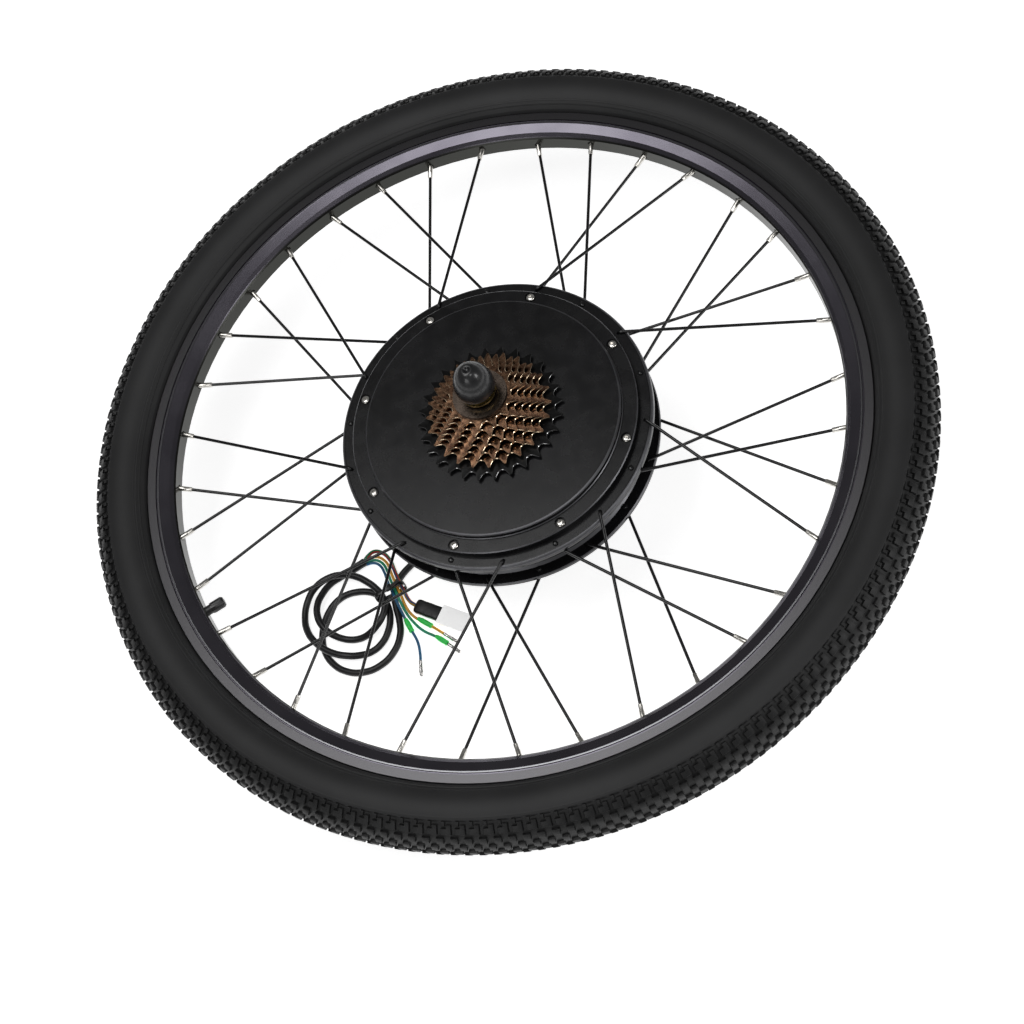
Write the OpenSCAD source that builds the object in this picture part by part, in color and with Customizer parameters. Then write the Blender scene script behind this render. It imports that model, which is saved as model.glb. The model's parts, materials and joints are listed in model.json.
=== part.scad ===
// Rear direct-drive hub motor wheel, lying flat with its drive side up.
// The origin is on the axle line in the middle plane of the rim, and +Z runs
// along the axle towards the freewheel. All lengths are in millimetres.

/* [Wheel] */
// Diameter of the rim's bead seat
bead_d = 584; // [584:1:622]
// Outside width of the rim at its edges
rim_w = 29; // [27:1:32]
// Height of the tyre above the bead seat
tyre_h = 55; // [52:1:58]
// Diameter of a spoke
spoke_d = 2.6; // [2.0:0.1:2.6]

/* [Motor] */
// Distance between the two dropout shoulders
locknut_w = 135; // [135:1:142]
// Diameter of the spoke hole circle in each flange
flange_pcd = 243.4; // [242:0.2:244]
// Width of the motor ring over its two flanges
ring_w = 36; // [36:1:40]
// Diameter of the laminated stator
stator_d = 196; // [194:1:196]
// Number of stator teeth
teeth = 51; // [36, 48, 51]
// Number of magnets
poles = 46; // [40:2:46]
// Nominal diameter of the axle thread
axle_thread_d = 14; // [12, 14]
// Distance across the axle's two flats
axle_flat_w = 10; // [9:0.5:10]

/* [Freewheel] */
// Distance from one sprocket to the next
sprocket_pitch = 5; // [4.8:0.1:5]
// Thickness of a sprocket
sprocket_t = 1.85; // [1.7:0.05:1.9]

/* [Cable] */
// Diameter of the motor cable
cable_d = 6; // [6:0.5:7]
// Diameter of a phase lead
phase_d = 2.4; // [2:0.2:2.6]

/* [Hidden] */
$fn = 96;
eps = 0.5;

// Axle line, from the middle outwards
shoulder_z = locknut_w / 2;
shaft_r = 8.5;
core_r = 12.5;
core_z = 14;
spacer_r = 11;
axle_end_z = 100;
lead_bore_r = 3.2;
lead_z = -9;
cap_r = 16;
cap_z = 75.5;
cap_top_z = 106.5;
floor_z = -106.5;

// Bearings, the same size on both sides
bearing_z0 = 15;
bearing_z1 = 27;
bearing_bore_r = 8.52;
bearing_inner_r = 11.2;
bearing_outer_r = 16.9;
bearing_r = 20;
ball_r = 2.75;
balls = 8;

// Washer and nut, with the slot for the dropout left open below them
washer_z = shoulder_z + 2.15;
washer_t = 1.8;
nut_z = washer_z + washer_t + 0.05;
nut_h = 10.5;
nut_corner_r = 12.1;

// Motor ring and covers
ring_z = ring_w / 2;
ring_inner_r = 106;
groove_r = 117;
flange_r = 128;
flange_t = 6;
flange_round = 3;
spoke_hole_r = spoke_d / 2 + 0.2;
holes_per_flange = 18;
screws = 8;
screw_circle_r = 111.3;
screw_a = 5.5;
cover_r = 116.9;
cover_face_z = ring_z + 6.5;
plateau_r = 104.5;
plateau_z = ring_z + 12;
cover_wall = 4;
hub_bore_r = 12.6;
thread_r = 17.35;
thread_z = 43;

// Brake disc seat on the left cover
disc_seat_z = 52.2;
disc_seat_r = 27;
disc_spigot_r = 17.45;
disc_spigot_h = 2.2;
disc_pcd = 44;
disc_hole_r = 2.1;
disc_hole_depth = 10;

// Stator and rotor
stator_r = stator_d / 2;
stator_bore_r = 85;
stator_z = 14;
slot_r = 87.8;
slot_w = 5.6;
slot_mouth_w = 2;
magnet_r = 99.2;
magnet_t = 2.5;
magnet_w = 12;
iron_r = 102;
iron_t = 3.7;

// Rim, tyre and spokes
bead_r = bead_d / 2;
rim_bed_r = bead_r - 16;
rim_edge_r = bead_r + 6;
rim_half = rim_w / 2;
rim_bed_half = 6.5;
rim_wall = 1.6;
tyre_r = bead_r + tyre_h;
nipple_r = 2.1;
nipple_hole_r = 2.7;
rim_hole_z = 2;
rim_holes = 36;
tyre_section_r = 26.5;
tyre_mid_r = tyre_r - tyre_section_r - 1;
valve_a = 185;

// Freewheel
sprocket_z = 33.5;
sprocket_teeth = [28, 24, 22, 20, 18, 16, 14];
chain_pitch = 12.7;
roller_r = 4;
shell_r = 22;
shell_inner_r = 20.5;
freewheel_z0 = 31.2;
freewheel_z1 = 64.5;
freewheel_core_r = 18.4;

// Motor lead: laid on the floor, wound in a coil, then split into its leads
cable_r = cable_d / 2;
coil_centre = [-187, -38];
coil_outer_r = 45.6;
coil_inner_r = 15;
coil_h = 12.6;
tie_h = 14.8;
boot_z = -101.5;
boot_len = 40;
phase_r = phase_d / 2;
hall_r = 2;
cable_route = [
    [-40, 0, -101.5], [-46, -0.3, -101.7], [-52, -1, -102], [-66, -3, -103],
    [-80, -5, -103.5], [-94, -8, -103.5], [-108, -11, -103.5], [-121, -15, -103.5],
    [-132, -20, -103.5], [-140, -27, -103.5], [-143, -31, -103.5]
];
yellow_route = [
    [-155, 10.4, -104], [-149.5, 10.6, -105.1], [-142.8, 7, -105.3], [-139.2, 0.5, -105.2],
    [-138.2, -7, -104], [-138.2, -13, -101], [-138.2, -20, -98.8], [-138.2, -30, -98.8],
    [-138.4, -39, -100.8], [-138.8, -48, -104.4], [-136.4, -58, -105.3], [-130.9, -67, -105.3],
    [-124.5, -76.5, -105.3], [-118.9, -86, -105.3]
];
green_route = [
    [-155, 8, -105.2], [-150, 7.8, -105.3], [-144.8, 4.7, -105.3], [-141.8, -1, -105.2],
    [-141, -8, -104], [-141, -15, -101], [-141, -23, -98.8], [-141, -33, -98.8],
    [-141, -42, -100.4], [-140.9, -51, -104.4], [-139, -61, -105.3], [-134, -74, -105.3],
    [-126, -85, -105.3], [-119.5, -96, -105.3]
];
blue_route = [
    [-155, 5.6, -104], [-150.5, 5.2, -105.1], [-146.8, 2.7, -105.3], [-144.5, -2, -105.2],
    [-143.8, -9, -104], [-143.8, -17, -100.8], [-143.8, -26, -98.8], [-143.7, -36, -98.8],
    [-143.7, -44, -99.8], [-143.8, -52, -103.6], [-143.5, -59, -105.1], [-142.6, -70, -105.1],
    [-142, -82, -105.3], [-144, -92, -105.3], [-146, -98, -105.3]
];
hall_route = [
    [-155, 8, -100.9], [-150, 11, -101], [-144, 12.6, -102.3], [-138.4, 8.6, -104],
    [-135.2, 0.5, -104.3], [-134.7, -6, -103], [-134.7, -12, -99.8], [-134.7, -20, -98],
    [-134.7, -28, -98.4], [-134.7, -37, -101.2], [-134, -45, -103.3], [-130.4, -51.5, -103.3]
];
sleeve_start = [-174, 6, -102.7];
sleeve_end = [-155, 8, -102.7];
sleeve_r = 3.8;
hall_sleeve_start = [-130.7, -51.2, -103.3];
hall_sleeve_end = [-114.9, -69.5, -103.3];
connector_end = [-97.2, -89.9, -103.3];
connector_w = 17;
connector_h = 6.4;

// A point at radius r and angle a in the plane at height z
function polar(r, a, z = 0) = [r * cos(a), r * sin(a), z];
function unit(v) = v / norm(v);

// Direction of a route at its point i
function heading(p, i) = unit(p[min(i + 1, len(p) - 1)] - p[max(i - 1, 0)]);

// Corners of the tube's section at point i of a route
function section(p, i, r, sides) =
    let (t = heading(p, i), side = unit(cross(t, [0, 0, 1])), up = cross(side, t))
    [for (k = [0 : sides - 1])
        p[i] + r * cos(360 * k / sides) * side + r * sin(360 * k / sides) * up];

// A tube of radius r along a route that is never vertical
module tube(p, r, sides = 8) {
    last = len(p) - 1;
    points = [for (i = [0 : last]) for (c = section(p, i, r, sides)) c];
    walls = [for (i = [0 : last - 1]) for (k = [0 : sides - 1])
        let (a = i * sides + k, b = i * sides + (k + 1) % sides)
        each [[a, b, b + sides], [a, b + sides, a + sides]]];
    start_cap = [[for (k = [0 : sides - 1]) sides - 1 - k]];
    end_cap = [[for (k = [0 : sides - 1]) last * sides + k]];
    polyhedron(points, concat(start_cap, walls, end_cap));
}

// A round rod from point p to point q, tapering from r1 to r2
module rod(p, q, r1, r2) {
    d = q - p;
    translate(p)
        rotate([0, acos(d[2] / norm(d)), atan2(d[1], d[0])])
            cylinder(r1 = r1, r2 = r2, h = norm(d), $fn = 32);
}

module ring(ri, ro, z0, z1) {
    translate([0, 0, z0])
        linear_extrude(z1 - z0)
            difference() {
                circle(ro);
                circle(ri);
            }
}

// The same shape on the drive side and, turned over, on the other side
module both_sides() {
    children();
    mirror([0, 0, 1]) children();
}

module hole(r, z0, z1) {
    translate([0, 0, z0]) cylinder(r = r, h = z1 - z0, $fn = 32);
}

// ---------- What the bicycle's frame holds still ----------

module axle() {
    color("silver")
        difference() {
            union() {
                translate([0, 0, -shoulder_z]) cylinder(r = shaft_r, h = 2 * shoulder_z);
                translate([0, 0, -core_z]) cylinder(r = core_r, h = 2 * core_z);
                intersection() {
                    translate([0, 0, -axle_end_z])
                        cylinder(r = axle_thread_d / 2, h = 2 * axle_end_z);
                    cube([axle_flat_w, 2 * axle_thread_d, 2 * axle_end_z + eps], center = true);
                }
            }
            hole(lead_bore_r, -axle_end_z - eps, lead_z);
            translate([0, 0, lead_z]) rotate([-90, 0, 0]) hole(lead_bore_r, 0, core_r + eps);
            translate([0, 0, lead_z]) sphere(lead_bore_r, $fn = 32);
        }
}

module axle_spacer() {
    color("dimgray") ring(shaft_r + 0.02, spacer_r, bearing_z1 + 0.05, shoulder_z);
}

module axle_spacer_right() {
    axle_spacer();
}

module axle_spacer_left() {
    mirror([0, 0, 1]) axle_spacer();
}

module stator_spider() {
    color("silver")
        difference() {
            union() {
                ring(core_r + 0.02, 22, -13, 13);
                ring(core_r + 0.02, 82, -3, 3);
                ring(79, stator_bore_r - 0.02, -stator_z, stator_z);
            }
            for (i = [0 : 5]) rotate(60 * i + 30) translate([50, 0, 0]) hole(16, -4, 4);
            translate([0, 0, lead_z]) rotate([-90, 0, 0]) hole(lead_bore_r, 0, 30);
        }
}

module stator_core() {
    color("slategray")
        translate([0, 0, -stator_z])
            linear_extrude(2 * stator_z)
                difference() {
                    circle(stator_r);
                    circle(stator_bore_r);
                    for (i = [0 : teeth - 1]) rotate(360 * i / teeth) {
                        translate([slot_r, -slot_w / 2]) square([8, slot_w]);
                        translate([slot_r, -slot_mouth_w / 2]) square([14, slot_mouth_w]);
                    }
                }
}

// A coil wound round one tooth
module coil_of_tooth() {
    difference() {
        translate([slot_r + 0.2, -5.35, -stator_z - 4]) cube([7, 10.7, 2 * stator_z + 8]);
        translate([slot_r, -3.2, -stator_z - 0.3]) cube([8, 6.4, 2 * stator_z + 0.6]);
    }
}

module stator_windings() {
    color("peru")
        for (i = [0 : teeth - 1]) rotate(360 * (i + 0.5) / teeth) coil_of_tooth();
}

// The board stands on the stator carrier's rim, with a sensor at each of three slots
module hall_board() {
    color("darkgreen") {
        translate([75, -16, -stator_z - 3.1]) cube([9, 32, 1.6]);
        for (y = [-13, 13]) translate([81, y, -stator_z - 1.5]) cylinder(r = 1.6, h = 1.5);
        for (y = [-10, 0, 10]) translate([84, y - 2, -stator_z - 2.6]) cube([3, 4, 1]);
    }
}

module motor_lead() {
    color("black") {
        hole(cable_r - 0.1, -axle_end_z + 3, lead_z);
        translate([0, 0, lead_z]) sphere(cable_r - 0.1, $fn = 32);
        translate([0, 0, lead_z]) rotate([-90, 0, 0]) hole(cable_r - 0.1, 0, 30);
    }
}

module bearing_inner_rings() {
    color("silver")
        both_sides() ring(bearing_bore_r, bearing_inner_r, bearing_z0, bearing_z1);
}

// Each washer's tab is bent inwards, to sit in the dropout's slot
module tab_washers() {
    color("silver")
        both_sides() {
            difference() {
                union() {
                    hole(14, washer_z, washer_z + washer_t);
                    translate([11.6, -4.9, shoulder_z + 0.4]) cube([2.2, 9.8, 2.6]);
                }
                hole(axle_thread_d / 2 + 0.1, washer_z - 1, washer_z + 3);
            }
        }
}

module axle_nuts() {
    color("gold")
        both_sides()
            difference() {
                intersection() {
                    translate([0, 0, nut_z]) cylinder(r = nut_corner_r, h = nut_h, $fn = 6);
                    translate([0, 0, nut_z - 6]) cylinder(r1 = 17.4, r2 = 5.4, h = 18);
                }
                hole(axle_thread_d / 2 + 0.05, nut_z - 1, nut_z + nut_h + 1);
            }
}

// A bullet-shaped cap, hollow over the nut and the axle's end
module axle_cap() {
    color("black")
        rotate_extrude()
            polygon(concat(
                [[12.3, cap_z], [cap_r - 0.6, cap_z], [cap_r, cap_z + 0.8]],
                [for (a = [0 : 10 : 80])
                    [5.2 + (cap_r - 5.2) * cos(a), cap_z + 13.5 + 17.5 * sin(a)]],
                [[5.2, cap_top_z], [3, cap_top_z - 0.2], [1.5, cap_top_z - 2], [0, cap_top_z - 2]],
                [[0, axle_end_z + 0.2], [7.3, axle_end_z + 0.2], [7.3, nut_z + nut_h + 0.3],
                    [12.3, nut_z + nut_h + 0.3]]));
}

// Moulded over the axle's left end, it turns the lead out sideways
module cable_boot() {
    color("black")
        difference() {
            union() {
                translate([0, 0, floor_z + 2]) cylinder(r = 11, h = 20);
                translate([0, 0, floor_z]) cylinder(r1 = 9, r2 = 11, h = 2);
                rod([0, 0, boot_z], [-boot_len, 0, boot_z], 5, 3.9);
                for (i = [0 : 3]) rod([-16 - 6 * i, 0, boot_z], [-19 - 6 * i, 0, boot_z],
                    4.95 - 0.15 * i, 4.95 - 0.15 * i);
            }
            hole(axle_thread_d / 2 + 0.1, -axle_end_z - 0.1, 0);
        }
}

module cable_tube() {
    color("black") tube(cable_route, cable_r, 10);
}

module cable_coil() {
    color("black")
        translate([coil_centre[0], coil_centre[1], floor_z])
            ring(coil_inner_r, coil_outer_r, 0, coil_h);
}

module cable_end_sleeve() {
    color("black") rod(sleeve_start, sleeve_end, sleeve_r, sleeve_r);
}

// A strap round the coil and the leads where they cross, with its lock on top
module cable_tie() {
    color("black")
        translate([-143, -31, floor_z]) {
            difference() {
                translate([-16, -1.8, 0]) cube([28, 3.6, tie_h]);
                translate([-15, -3, 1]) cube([26, 6, tie_h - 2]);
            }
            translate([-4, -2.8, tie_h - 0.2]) cube([5, 5.6, 3.2]);
        }
}

module phase_lead_yellow() {
    color("yellow") tube(yellow_route, phase_r);
}

module phase_lead_green() {
    color("green") tube(green_route, phase_r);
}

module phase_lead_blue() {
    color("royalblue") tube(blue_route, phase_r);
}

module hall_lead() {
    color("dimgray") tube(hall_route, hall_r);
}

// Insulating sleeves pushed back along the three phase leads
module lead_sleeves() {
    color("limegreen") {
        rod([-133.6, -62.4, -104.2], [-125.6, -74.8, -104.2], 2.3, 2.3);
        rod([-126, -84.8, -104.2], [-119.6, -95.6, -104.2], 2.3, 2.3);
        rod([-143.5, -57.5, -104.2], [-142.6, -71, -104.2], 2.3, 2.3);
    }
}

// A bullet terminal: crimp, pin and rounded tip
module bullet(p, q) {
    u = unit(q - p);
    rod(p, p + 6.5 * u, 1.6, 1.6);
    rod(p + 6 * u, q - 1.6 * u, 1.9, 1.9);
    rod(q - 1.7 * u, q, 1.6, 0.9);
}

module lead_terminals() {
    color("silver") {
        bullet([-118.9, -86, -104.6], [-111.5, -98.4, -104.6]);
        bullet([-119.4, -96.2, -104.6], [-112.8, -108.4, -104.6]);
        bullet([-146, -98.2, -104.6], [-150.4, -111.8, -104.6]);
    }
}

// A flat piece along the line from p to q, w wide and h high
module flat_piece(p, q, w, h) {
    d = q - p;
    translate(p) rotate(atan2(d[1], d[0])) translate([0, -w / 2, -h / 2]) cube([norm(d), w, h]);
}

module hall_sleeve() {
    color("black") flat_piece(hall_sleeve_start, hall_sleeve_end, 12.5, 6.2);
}

module hall_connector() {
    color("white")
        difference() {
            flat_piece(hall_sleeve_end, connector_end, connector_w, connector_h);
            translate(hall_sleeve_end)
                rotate(atan2(connector_end[1] - hall_sleeve_end[1],
                    connector_end[0] - hall_sleeve_end[0]))
                    for (y = [-5.2, 0, 5.2]) translate([22, y - 1.9, -2.4]) cube([9, 3.8, 4.8]);
        }
}

// ---------- What turns with the wheel ----------

// One corner of the ring's outline, rounded where the flange ends
function flange_corner(s) = [for (a = s > 0 ? [0 : 15 : 90] : [90 : -15 : 0])
    [flange_r - flange_round * (1 - cos(a)), s * (ring_z - flange_round * (1 - sin(a)))]];

module motor_ring() {
    foot_z = ring_z - flange_t;
    color("dimgray")
        difference() {
            rotate_extrude()
                polygon(concat(
                    [[ring_inner_r, -ring_z]],
                    flange_corner(-1),
                    [[flange_r, -foot_z - 0.8], [flange_r - 0.8, -foot_z], [groove_r + 2, -foot_z],
                        [groove_r, -foot_z + 2], [groove_r, foot_z - 2], [groove_r + 2, foot_z],
                        [flange_r - 0.8, foot_z], [flange_r, foot_z + 0.8]],
                    flange_corner(1),
                    [[ring_inner_r, ring_z]]));
            for (i = [0 : holes_per_flange - 1]) {
                rotate(20 * i + 10) translate([flange_pcd / 2, 0, 0])
                    hole(spoke_hole_r, foot_z - 1, ring_z + 1);
                rotate(20 * i) translate([flange_pcd / 2, 0, 0])
                    hole(spoke_hole_r, -ring_z - 1, 1 - foot_z);
            }
            for (i = [0 : screws - 1])
                rotate(360 / screws * i + screw_a)
                    translate([screw_circle_r, 0, 0])
                        both_sides() hole(1.7, ring_z - 10, ring_z + 1);
        }
}

module back_iron() {
    color("slategray") ring(iron_r, iron_r + iron_t, -15, 15);
}

module magnets() {
    color("lightslategray")
        for (i = [0 : poles - 1])
            rotate(360 * i / poles)
                translate([magnet_r, -magnet_w / 2, -stator_z])
                    cube([magnet_t, magnet_w, 2 * stator_z]);
}

// Outline of the side covers' outer face, from the rim inwards
cover_outline = [
    [ring_inner_r, ring_z + 0.02], [cover_r, ring_z + 0.02], [cover_r, cover_face_z - 0.8],
    [cover_r - 0.8, cover_face_z], [plateau_r + 0.6, cover_face_z],
    [plateau_r, cover_face_z + 0.6], [plateau_r, plateau_z - 1.6],
    [plateau_r - 0.5, plateau_z - 0.5], [plateau_r - 1.6, plateau_z]
];

// Outline of their inside, from the bearing seat out to the rim
cover_inside = [
    [hub_bore_r, bearing_z1 + 0.05], [bearing_r + 0.02, bearing_z1 + 0.05],
    [bearing_r + 0.02, bearing_z0 - 0.4], [24, bearing_z0 - 0.4], [24, plateau_z - cover_wall],
    [96, plateau_z - cover_wall], [100.5, 21.5], [ring_inner_r, ring_z + 1.5]
];

module cover_screw_holes() {
    for (i = [0 : screws - 1])
        rotate(360 / screws * i + screw_a)
            translate([screw_circle_r, 0, 0]) {
                hole(2.2, ring_z - 1, cover_face_z + 1);
                hole(4.6, cover_face_z - 1.5, cover_face_z + 1);
            }
}

module right_cover() {
    color("dimgray")
        difference() {
            rotate_extrude()
                polygon(concat(
                    cover_outline,
                    [[26, plateau_z], [25, plateau_z + 0.9], [thread_r, plateau_z + 0.9],
                        [thread_r, thread_z], [hub_bore_r, thread_z]],
                    cover_inside));
            cover_screw_holes();
        }
}

module left_cover() {
    color("dimgray")
        mirror([0, 0, 1])
            difference() {
                rotate_extrude()
                    polygon(concat(
                        cover_outline,
                        [[disc_seat_r + 3, plateau_z], [disc_seat_r, plateau_z + 3],
                            [disc_seat_r, disc_seat_z], [disc_spigot_r, disc_seat_z],
                            [disc_spigot_r, disc_seat_z + disc_spigot_h],
                            [hub_bore_r, disc_seat_z + disc_spigot_h]],
                        cover_inside));
                cover_screw_holes();
                for (i = [0 : 5])
                    rotate(60 * i)
                        translate([disc_pcd / 2, 0, 0])
                            hole(disc_hole_r, disc_seat_z - disc_hole_depth, disc_seat_z + 1);
            }
}

// Button-head socket screws in the cover's counterbores
module cover_screws() {
    head_z = cover_face_z - 1.5;
    color("gainsboro")
        for (i = [0 : screws - 1])
            rotate(360 / screws * i + screw_a)
                translate([screw_circle_r, 0, 0]) {
                    hole(1.62, ring_z - 8, head_z + 0.5);
                    difference() {
                        union() {
                            hole(3.8, head_z, head_z + 1.2);
                            translate([0, 0, head_z + 1.2])
                                cylinder(r1 = 3.8, r2 = 2.4, h = 1, $fn = 32);
                        }
                        translate([0, 0, head_z + 0.8]) cylinder(r = 1.45, h = 3, $fn = 6);
                    }
                }
}

module cover_screws_right() {
    cover_screws();
}

module cover_screws_left() {
    mirror([0, 0, 1]) cover_screws();
}

module bearing_outer_rings() {
    color("silver") both_sides() ring(bearing_outer_r, bearing_r, bearing_z0, bearing_z1);
}

module bearing_balls() {
    color("gainsboro")
        both_sides()
            for (i = [0 : balls - 1])
                translate(polar((bearing_inner_r + bearing_outer_r) / 2, 360 * i / balls, 21))
                    sphere(ball_r, $fn = 32);
}

module oil_seals() {
    color("black") {
        ring(spacer_r + 0.1, hub_bore_r - 0.02, 36, 42);
        mirror([0, 0, 1]) ring(spacer_r + 0.1, hub_bore_r - 0.02, 46, 52);
    }
}

// Where a spoke bends at the flange, and where its line meets the rim's inner wall
function spoke_bend(hub_a, out) =
    polar(flange_pcd / 2, hub_a,
        out ? ring_z + spoke_d / 2 + 0.55 : ring_z - flange_t - spoke_d / 2 - 0.15);
function spoke_aim(rim_a) = polar(rim_bed_r + rim_wall / 2, rim_a, rim_hole_z);

// A spoke: head, bend through the flange, straight shaft into its nipple.
// out is true for a spoke that lies on the flange's outer face.
module spoke(hub_a, rim_a, out) {
    r = spoke_d / 2;
    head_z = out ? ring_z - flange_t - 1.7 : ring_z + 0.1;
    bend = spoke_bend(hub_a, out);
    aim = spoke_aim(rim_a);
    translate(bend) sphere(r + 0.08, $fn = 32);
    rod(bend, aim - 2.8 * unit(aim - bend), r, r);
    translate([bend[0], bend[1], min(bend[2], head_z)])
        cylinder(r = r, h = abs(bend[2] - head_z), $fn = 32);
    translate([bend[0], bend[1], head_z]) cylinder(r = 2.2, h = 1.6, $fn = 32);
}

// The nipple follows its spoke's line, with its head inside the rim
module nipple(hub_a, rim_a, out) {
    bend = spoke_bend(hub_a, out);
    aim = spoke_aim(rim_a);
    u = unit(aim - bend);
    difference() {
        union() {
            rod(aim - 12 * u, aim + 2.4 * u, nipple_r, nipple_r);
            rod(aim + 1.9 * u, aim + 4.2 * u, 3, 2.6);
        }
        rod(aim - 13 * u, aim - 2.7 * u, spoke_d / 2 + 0.03, spoke_d / 2 + 0.03);
    }
}

// A flange's holes send their spokes forwards and back in turn, crossing once
module lace_right(part) {
    for (i = [0 : 8]) {
        if (part == "spoke") {
            spoke(40 * i + 10, 40 * i - 10, true);
            spoke(40 * i + 30, 40 * i + 50, false);
        } else {
            nipple(40 * i + 10, 40 * i - 10, true);
            nipple(40 * i + 30, 40 * i + 50, false);
        }
    }
}

module spokes_right() {
    color("black") lace_right("spoke");
}

// The left flange is laced the same way, half a hole further round
module spokes_left() {
    color("black") mirror([0, 0, 1]) rotate(10) lace_right("spoke");
}

module nipples() {
    color("silver") {
        lace_right("nipple");
        mirror([0, 0, 1]) rotate(10) lace_right("nipple");
    }
}

// Half of the double-wall rim's outline: the spoke bed, the sloping side, a ridge and a wear
// groove, the brake track, the edge and the well
function rim_outline(s) = [
    [rim_bed_r, s * rim_bed_half], [rim_bed_r + 1.5, s * (rim_bed_half + 2)],
    [rim_bed_r + 4, s * (rim_bed_half + 4.3)], [bead_r - 4.6, s * (rim_half - 0.7)],
    [bead_r - 4, s * (rim_half - 0.2)], [bead_r - 2.9, s * (rim_half - 0.2)],
    [bead_r - 2.5, s * (rim_half - 1.1)], [bead_r - 1.8, s * (rim_half - 1.1)],
    [bead_r - 1.4, s * (rim_half - 0.1)],
    [rim_edge_r - 0.6, s * rim_half], [rim_edge_r, s * (rim_half - 0.6)],
    [rim_edge_r, s * (rim_half - 1.6)], [bead_r, s * (rim_half - 1.8)],
    [bead_r - 0.6, s * (rim_half - 5.5)], [bead_r - 3.5, s * 6.2]
];

function rim_cavity(s) = [
    [rim_bed_r + rim_wall, s * (rim_bed_half - 0.6)], [rim_bed_r + 2.8, s * (rim_bed_half + 0.8)],
    [rim_bed_r + 5.2, s * (rim_bed_half + 3)], [bead_r - 3.8, s * (rim_half - 2.2)],
    [bead_r - 2, s * (rim_half - 3.4)], [bead_r - 2, s * (rim_half - 5.2)],
    [bead_r - 5, s * 5.4]
];

function reversed(p) = [for (i = [len(p) - 1 : -1 : 0]) p[i]];

module rim() {
    color("dimgray")
        difference() {
            rotate_extrude($fn = 180)
                difference() {
                    polygon(concat(rim_outline(1), reversed(rim_outline(-1))));
                    polygon(concat(rim_cavity(1), reversed(rim_cavity(-1))));
                }
            for (i = [0 : rim_holes - 1])
                rotate(10 * i)
                    rotate([0, 90, 0]) {
                        translate([(i % 2 == 0 ? 1 : -1) * rim_hole_z, 0, rim_bed_r - 3])
                            cylinder(r = nipple_hole_r, h = 7, $fn = 32);
                        translate([0, 0, bead_r - 8]) cylinder(r = 4.2, h = 6, $fn = 32);
                    }
            rotate(valve_a) rotate([0, 90, 0])
                translate([0, 0, rim_bed_r - 3]) cylinder(r = 4.2, h = 22, $fn = 32);
        }
}

module rim_tape() {
    color("khaki")
        difference() {
            ring(bead_r - 3.45, bead_r - 2.7, -6, 6);
            rotate(valve_a) rotate([0, 90, 0])
                translate([0, 0, bead_r - 8]) cylinder(r = 4.2, h = 12, $fn = 32);
        }
}

module inner_tube() {
    color("black")
        rotate_extrude($fn = 180)
            translate([tyre_mid_r - 1, 0])
                difference() {
                    circle(tyre_section_r - 6);
                    circle(tyre_section_r - 6.9);
                }
}

// Tyre section: a round casing, thicker under the tread, down to two beads
function casing(r, a0, a1, step) = [for (a = [a0 : step : a1])
    [tyre_mid_r + (r + (abs(a) < 46 ? 1 : 0)) * cos(a), r * sin(a)]];

module tyre() {
    outer = casing(tyre_section_r, -140, 140, 10);
    inner = casing(tyre_section_r - 4, 142, -142, -14.2);
    color("black")
        rotate_extrude($fn = 180)
            polygon(concat(
                [[bead_r + 0.3, -rim_half + 5.4], [bead_r + 0.3, -rim_half + 2.1],
                    [rim_edge_r + 0.3, -rim_half + 1.9]],
                outer,
                [[rim_edge_r + 0.3, rim_half - 1.9], [bead_r + 0.3, rim_half - 2.1],
                    [bead_r + 0.3, rim_half - 5.4]],
                inner));
}

module valve_stem() {
    color("dimgray")
        rotate(valve_a) rotate([0, 90, 0])
            translate([0, 0, rim_bed_r - 13]) cylinder(r = 3.9, h = tyre_mid_r - 1
                - tyre_section_r + 6 - rim_bed_r + 12.6, $fn = 32);
}

module valve_cap() {
    color("black")
        rotate(valve_a) rotate([0, 90, 0])
            translate([0, 0, rim_bed_r - 16.5])
                difference() {
                    union() {
                        cylinder(r1 = 3.9, r2 = 4.7, h = 1.5, $fn = 32);
                        translate([0, 0, 1.5]) cylinder(r = 4.7, h = 10.5, $fn = 32);
                    }
                    translate([0, 0, 3.4]) cylinder(r = 3.95, h = 12, $fn = 32);
                }
}

module freewheel_core() {
    color("dimgray") {
        difference() {
            ring(thread_r + 0.03, freewheel_core_r, freewheel_z0, freewheel_z1);
            hole(thread_r + 0.5, thread_z + 0.5, freewheel_z1 - 2);
        }
        ring(14, freewheel_core_r - 0.5, thread_z + 0.5, freewheel_z1);
    }
}

// Two spring-loaded pawls that catch the shell's ratchet
module freewheel_pawls() {
    color("silver")
        for (a = [40, 220])
            rotate(a) translate([freewheel_core_r + 0.1, -3, 52]) cube([1.5, 6, 5]);
}

module freewheel_face_ring() {
    color("dimgray")
        difference() {
            ring(13.5, 21.6, freewheel_z1 + 0.3, freewheel_z1 + 1.8);
            for (a = [60, 240]) translate(polar(18, a)) hole(1.3, freewheel_z1, freewheel_z1 + 3);
        }
}

// ---------- What turns on the freewheel ----------

module freewheel_shell() {
    color("dimgray")
        difference() {
            ring(shell_inner_r, shell_r, freewheel_z0, freewheel_z1);
            for (i = [0 : 19])
                translate(polar(shell_inner_r + 0.1, 18 * i)) hole(0.7, 51, 58);
        }
}

module freewheel_balls() {
    color("gainsboro")
        for (z = [46, 62])
            for (i = [0 : 19])
                translate(polar((shell_inner_r + freewheel_core_r) / 2, 18 * i, z))
                    sphere(0.98, $fn = 24);
}

// A sprocket's place on the shell, counted from the largest
function sprocket_mid(i) = sprocket_z + sprocket_pitch * i;

module sprocket_spacers() {
    color("dimgray")
        for (i = [0 : len(sprocket_teeth) - 2])
            ring(shell_r + 0.02, shell_r + 1.4, sprocket_mid(i) + sprocket_t / 2,
                sprocket_mid(i + 1) - sprocket_t / 2);
}

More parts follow.
